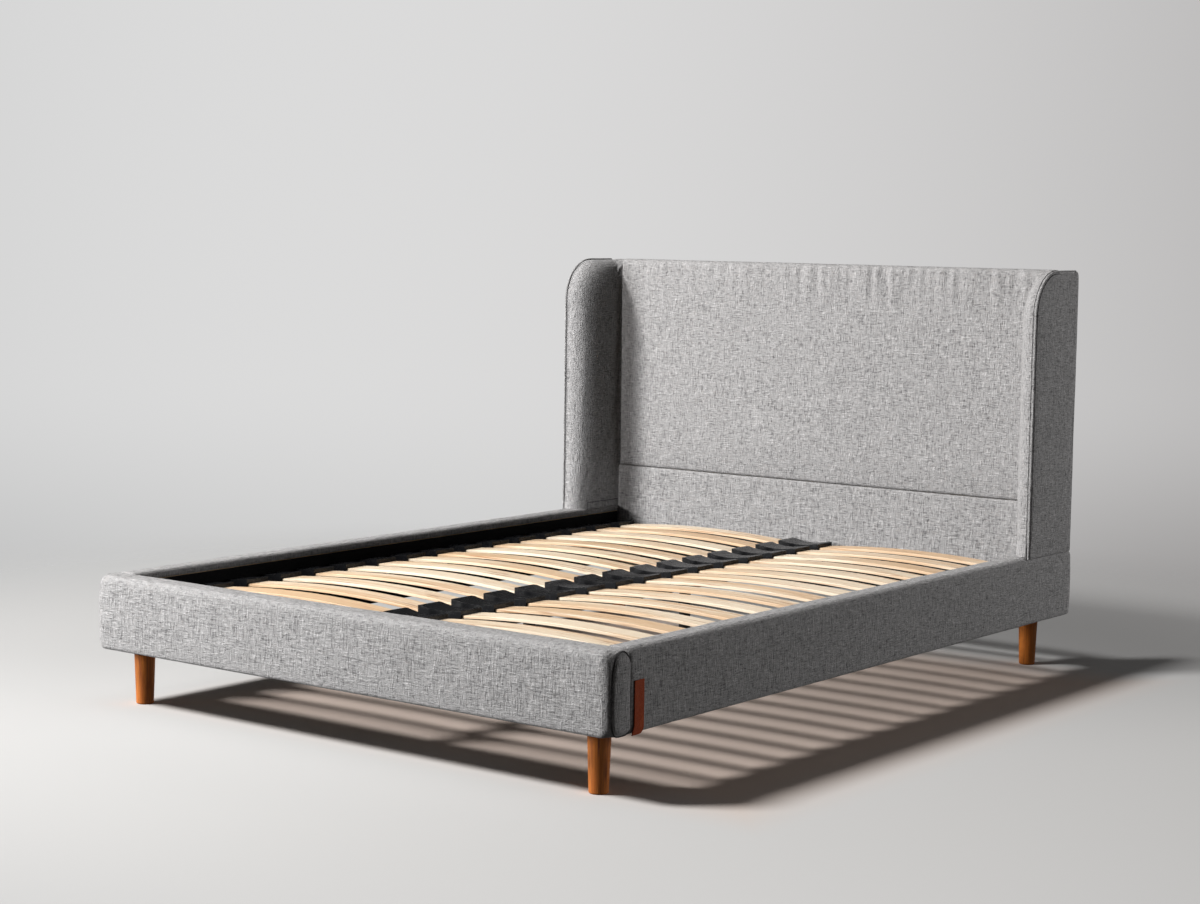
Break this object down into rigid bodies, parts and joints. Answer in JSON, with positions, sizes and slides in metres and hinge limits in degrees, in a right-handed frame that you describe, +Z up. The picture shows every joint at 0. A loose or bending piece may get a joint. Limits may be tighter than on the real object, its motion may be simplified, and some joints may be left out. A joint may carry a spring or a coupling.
{
  "type": "upholstered bed frame",
  "caption": "Upholstered double bed frame with a winged headboard, padded rails on turned wooden legs, bowed slats in moulded caps and levelling centre legs.",
  "frame": {"origin": "on the floor, under the middle of the bed", "axes": "+X to the right seen from the foot end, +Y from the foot to the headboard, +Z up"},
  "size_m": [1.6398, 2.16, 1.115],
  "materials": {
    "board_wood": "sawn timber and plywood, bare",
    "grey_cloth": "light grey melange upholstery weave over foam",
    "black_lining": "black woven lining, stapled",
    "brown_leather": "brown leather, smooth, bare",
    "black_wood": "timber stained black",
    "zinc_steel": "bright zinc plate",
    "black_steel": "black powder coat",
    "leg_wood": "turned hardwood, warm brown stain, satin oil",
    "black_rubber": "moulded, soft sheen",
    "black_plastic": "moulded, matt",
    "slat_wood": "bent laminated birch, clear sealed"
  },
  "bodies": {
    "frame": {"footboard_core": "board_wood", "side_rail_core_left": "board_wood", "side_rail_core_right": "board_wood", "headboard_board": "board_wood", "wing_board_left": "board_wood", "wing_board_right": "board_wood", "corner_blocks": "board_wood", "footboard_cover": "grey_cloth", "side_rail_cover_left": "grey_cloth", "side_rail_cover_right": "grey_cloth", "headboard_upper_pad": "grey_cloth", "headboard_lower_band": "grey_cloth", "headboard_back_cover": "grey_cloth", "wing_cover_left": "grey_cloth", "wing_cover_right": "grey_cloth", "footboard_lining": "black_lining", "side_rail_lining_left": "black_lining", "side_rail_lining_right": "black_lining", "leather_tab": "brown_leather", "headboard_bearer": "black_wood", "slat_ledger_left": "black_wood", "slat_ledger_right": "black_wood", "wing_studs": "zinc_steel", "ledger_screws": "zinc_steel", "centre_rail_screws": "zinc_steel", "corner_brackets": "zinc_steel", "corner_bolts": "zinc_steel", "leg_studs": "zinc_steel", "centre_rail": "black_steel", "centre_rail_brackets": "black_steel", "centre_leg_foot_end": "black_steel", "centre_leg_head_end": "black_steel", "leg_front_left": "leg_wood", "leg_front_right": "leg_wood", "leg_back_left": "leg_wood", "leg_back_right": "leg_wood", "side_caps_left": "black_rubber", "side_caps_right": "black_rubber", "centre_caps": "black_rubber", "slat_row_01": "slat_wood", "slat_row_02": "slat_wood", "slat_row_03": "slat_wood", "slat_row_04": "slat_wood", "slat_row_05": "slat_wood", "slat_row_06": "slat_wood", "slat_row_07": "slat_wood", "slat_row_08": "slat_wood", "slat_row_09": "slat_wood", "slat_row_10": "slat_wood", "slat_row_11": "slat_wood", "slat_row_12": "slat_wood", "slat_row_13": "slat_wood", "slat_row_14": "slat_wood", "slat_row_15": "slat_wood", "slat_row_16": "slat_wood"},
    "foot_end_pad": {"levelling_pad_foot_end": "black_plastic"},
    "foot_end_screw": {"levelling_screw_foot_end": "zinc_steel"},
    "head_end_pad": {"levelling_pad_head_end": "black_plastic"},
    "head_end_screw": {"levelling_screw_head_end": "zinc_steel"}
  },
  "joints": [
    {"name": "foot_end_level", "type": "slide", "parent": "frame", "child": "foot_end_pad", "axis": [0, 0, -1], "range_m": [0, 0.012]},
    {"name": "foot_end_screw_turn", "type": "hinge", "parent": "foot_end_pad", "child": "foot_end_screw", "pos_m": [0, -0.345, 0.03], "axis": [0, 0, -1], "range_deg": [0, 2881]},
    {"name": "head_end_level", "type": "slide", "parent": "frame", "child": "head_end_pad", "axis": [0, 0, -1], "range_m": [0, 0.012]},
    {"name": "head_end_screw_turn", "type": "hinge", "parent": "head_end_pad", "child": "head_end_screw", "pos_m": [0, 0.345, 0.03], "axis": [0, 0, -1], "range_deg": [0, 2881]}
  ],
  "couplings": [
    {"joint": "foot_end_screw_turn", "follows": "foot_end_level", "rad_per_m": 4188.8},
    {"joint": "head_end_screw_turn", "follows": "head_end_level", "rad_per_m": 4188.8}
  ]
}
